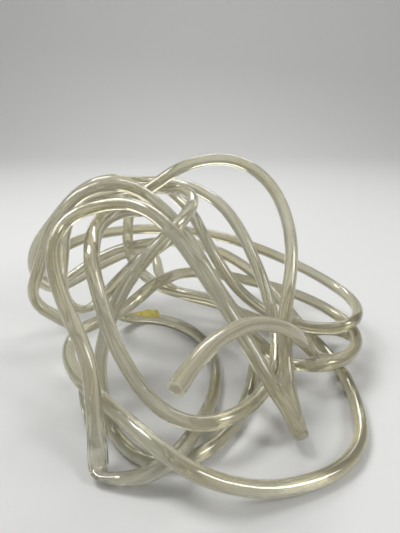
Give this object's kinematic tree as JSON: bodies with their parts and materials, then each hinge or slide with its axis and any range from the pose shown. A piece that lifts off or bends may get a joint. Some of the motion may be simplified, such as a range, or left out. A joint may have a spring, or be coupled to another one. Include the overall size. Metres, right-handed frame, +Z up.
{
  "type": "silicone tubing coil",
  "caption": "Long flexible clear silicone tube, 6 mm bore and 9 mm outside, lying in a loose tangled heap with square-cut open ends; a torn scrap of tape clings to it.",
  "frame": {"origin": "middle of the heap's footprint, on the surface that it lies on", "axes": "+X along the heap's length, to the right of the view that shows the open end; +Y from the front, with the open end and the large flat loop, to the back; +Z up"},
  "size_m": [0.2821, 0.2256, 0.1484],
  "materials": {
    "silicone": "translucent, slightly yellowed, satin",
    "tape": "torn film, matt"
  },
  "bodies": {
    "root": {"tubing": "silicone", "tape_scrap": "tape"}
  },
  "joints": []
}
